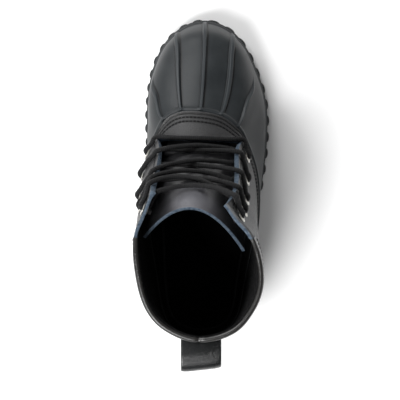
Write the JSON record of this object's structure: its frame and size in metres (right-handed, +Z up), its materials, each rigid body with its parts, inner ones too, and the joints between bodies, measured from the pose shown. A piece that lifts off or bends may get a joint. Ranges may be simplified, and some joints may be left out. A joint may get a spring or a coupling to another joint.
{
  "type": "lace-up boot",
  "caption": "Right-foot lace-up boot with a moulded black rubber bottom, black leather shaft, bound collar, wide tongue, metal eyelets, a round black lace and a pull loop",
  "frame": {"origin": "on the floor under the middle of the boot's plan box", "axes": "+X to the outer side of the foot, +Y to the toe, +Z up"},
  "size_m": [0.1234, 0.3166, 0.2007],
  "materials": {
    "outsole_rubber": "moulded, matt, lightly scuffed",
    "shell_rubber": "moulded, satin, fine pebble",
    "shaft_leather": "oiled full-grain, satin, blue-grey cut edges",
    "binding_leather": "smooth folded strip, soft shine",
    "tongue_leather": "oiled full-grain, satin, raw-cut edge",
    "loop_leather": "smooth strap, soft shine",
    "insole_fabric": "woven, matt",
    "eyelet_metal": "pressed and plated, worn bright",
    "lace_cord": "round braid, waxed"
  },
  "bodies": {
    "root": {"outsole": "outsole_rubber", "rubber_shell": "shell_rubber", "leather_shaft": "shaft_leather", "collar_binding": "binding_leather", "tongue": "tongue_leather", "insole": "insole_fabric", "pull_loop": "loop_leather", "eyelet_lateral_1": "eyelet_metal", "eyelet_lateral_2": "eyelet_metal", "eyelet_lateral_3": "eyelet_metal", "eyelet_lateral_4": "eyelet_metal", "eyelet_lateral_5": "eyelet_metal", "eyelet_medial_1": "eyelet_metal", "eyelet_medial_2": "eyelet_metal", "eyelet_medial_3": "eyelet_metal", "eyelet_medial_4": "eyelet_metal", "eyelet_medial_5": "eyelet_metal", "lace_bar": "lace_cord", "lace_cross_2": "lace_cord", "lace_cross_3": "lace_cord", "lace_cross_4": "lace_cord", "lace_cross_5": "lace_cord"}
  },
  "joints": []
}
